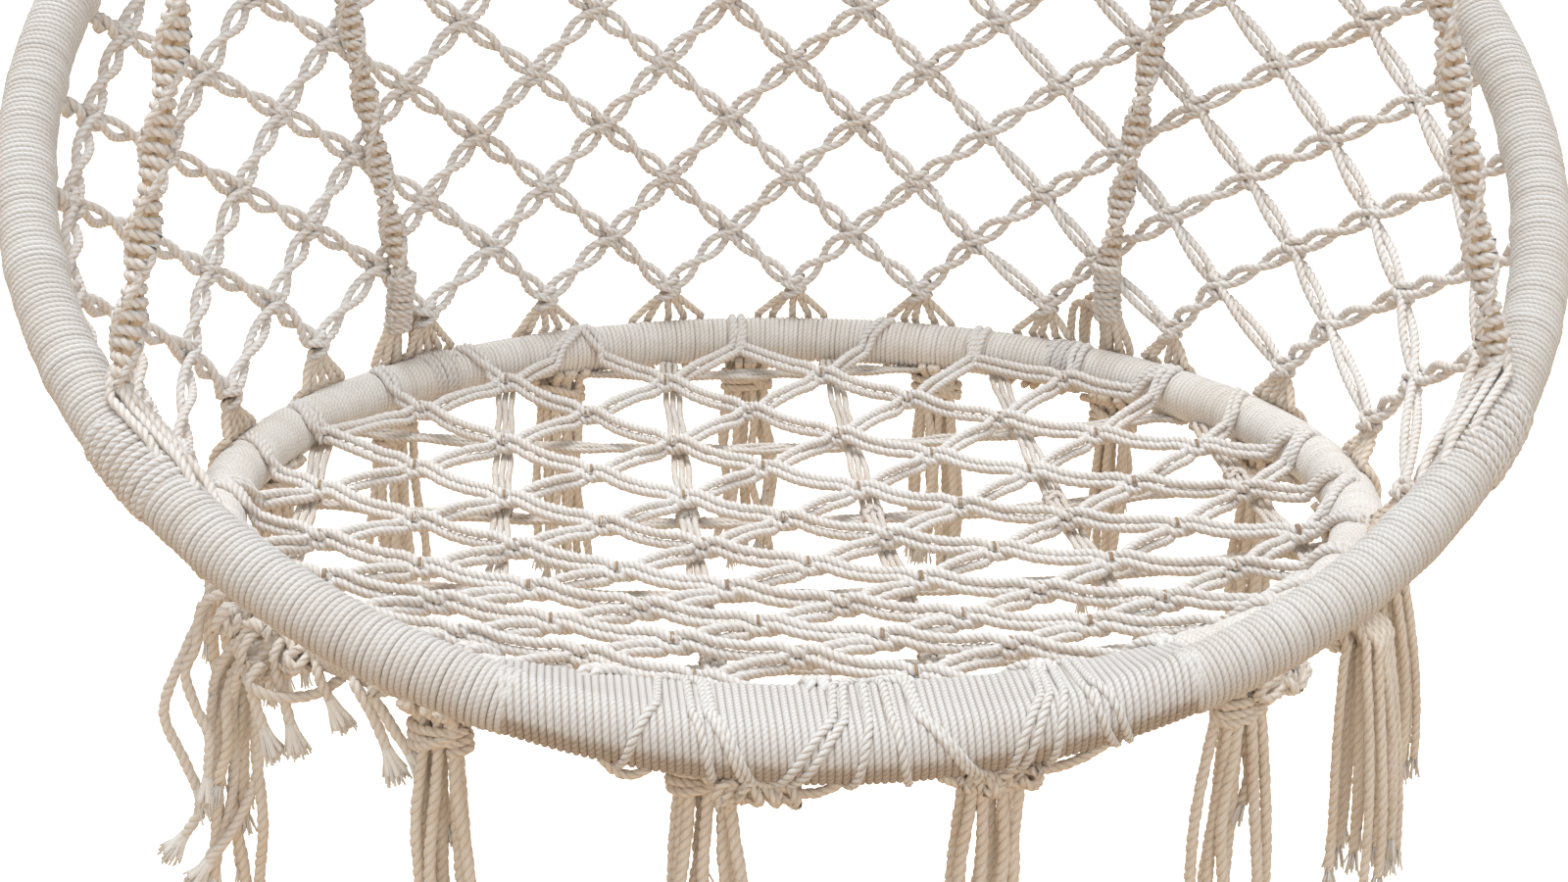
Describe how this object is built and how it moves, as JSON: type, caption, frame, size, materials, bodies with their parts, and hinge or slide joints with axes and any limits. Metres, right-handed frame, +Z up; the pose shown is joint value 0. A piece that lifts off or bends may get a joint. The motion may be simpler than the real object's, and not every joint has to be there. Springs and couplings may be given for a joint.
{
  "type": "hammock chair",
  "caption": "Hanging hammock chair: cord-wrapped steel hoops carry a knotted back net and a looped seat net on four ropes, with fringe tassels below.",
  "frame": {"origin": "where the hook or beam bears on the inside of the hanging ring, at its top", "axes": "+Z up, the seat's front faces -Y, +X to the right for someone who looks at the chair from the front"},
  "size_m": [0.8, 0.6683, 1.675],
  "materials": {
    "cotton_cord": "natural cotton cord, matt",
    "cotton_shade": "natural cotton cord, matt",
    "tube_steel": "coated steel tube",
    "ring_steel": "bright steel"
  },
  "bodies": {
    "ring": {"hanging_ring": "ring_steel"},
    "back": {"crown_knot": "cotton_cord", "back_hoop_tube": "tube_steel", "back_hoop_wrap": "cotton_cord", "front_binding": "cotton_cord", "back_net": "cotton_cord", "front_left_rope": "cotton_cord", "front_right_rope": "cotton_cord", "rear_left_rope": "cotton_cord", "rear_right_rope": "cotton_cord", "rear_left_tie": "cotton_cord", "rear_right_tie": "cotton_cord", "front_left_lashing": "cotton_cord", "front_right_lashing": "cotton_cord", "rear_left_upper_lashing": "cotton_cord", "rear_right_upper_lashing": "cotton_cord"},
    "seat": {"seat_hoop_tube": "tube_steel", "seat_hoop_wrap": "cotton_cord", "seat_net": "cotton_cord", "support_web": "cotton_shade", "rear_left_lower_lashing": "cotton_cord", "rear_right_lower_lashing": "cotton_cord", "tassel_01": "cotton_shade", "tassel_02": "cotton_shade", "tassel_03": "cotton_shade", "tassel_04": "cotton_shade", "tassel_05": "cotton_shade", "tassel_06": "cotton_shade", "tassel_07": "cotton_shade", "tassel_08": "cotton_shade", "tassel_09": "cotton_shade", "tassel_10": "cotton_shade", "tassel_11": "cotton_shade", "tassel_12": "cotton_shade", "tassel_13": "cotton_shade", "tassel_14": "cotton_shade", "tassel_15": "cotton_shade"}
  },
  "joints": [
    {"name": "swing", "type": "hinge", "parent": "ring", "child": "back", "pos_m": [0, 0, -0.065], "axis": [1, 0, 0], "range_deg": [-30, 30]},
    {"name": "seat_fold", "type": "hinge", "parent": "back", "child": "seat", "pos_m": [0, -0.331, -1.5042], "axis": [1, 0, 0], "range_deg": [0, 24], "deforming": ["back_net", "rear_left_tie", "rear_right_tie", "front_binding"]}
  ]
}
